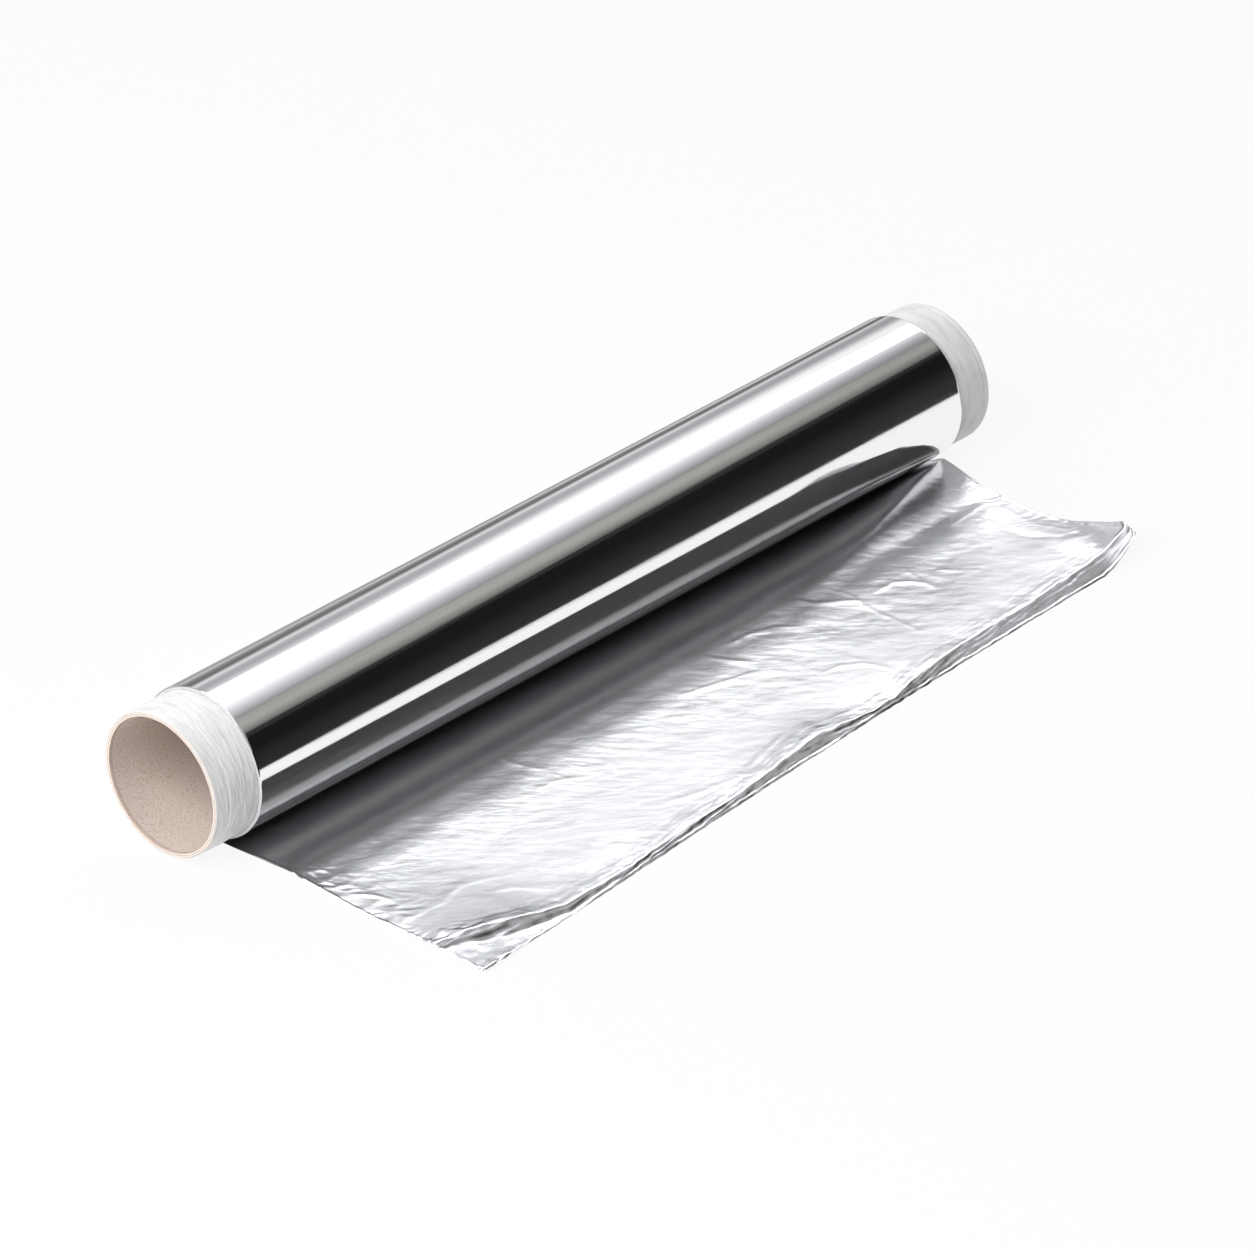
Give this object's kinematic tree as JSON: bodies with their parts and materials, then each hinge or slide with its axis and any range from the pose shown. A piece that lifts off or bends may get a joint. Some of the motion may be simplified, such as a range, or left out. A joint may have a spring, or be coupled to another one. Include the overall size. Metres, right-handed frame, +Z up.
{
  "type": "aluminium foil roll",
  "caption": "Household aluminium foil wound on an open board core, lying on its side, with a short sheet pulled out in front, its front margin turned down and its far corner curled up.",
  "frame": {"origin": "on the core's axis, in the middle of the foil's width", "axes": "+X along the roll's axis to the far end, -Y the way the sheet pays out along the floor, +Z up"},
  "size_m": [0.33, 0.1317, 0.0465],
  "materials": {
    "board": "fibrous grey-brown spiral-wound board, cream at the cut ends",
    "paper": "matt white paper with fine creases round the core",
    "foil": "mirror-bright outside on the roll, satin and finely wrinkled on the sheet's upper face"
  },
  "bodies": {
    "root": {"core_tube": "board", "core_wrap": "paper", "foil": "foil"}
  },
  "joints": []
}
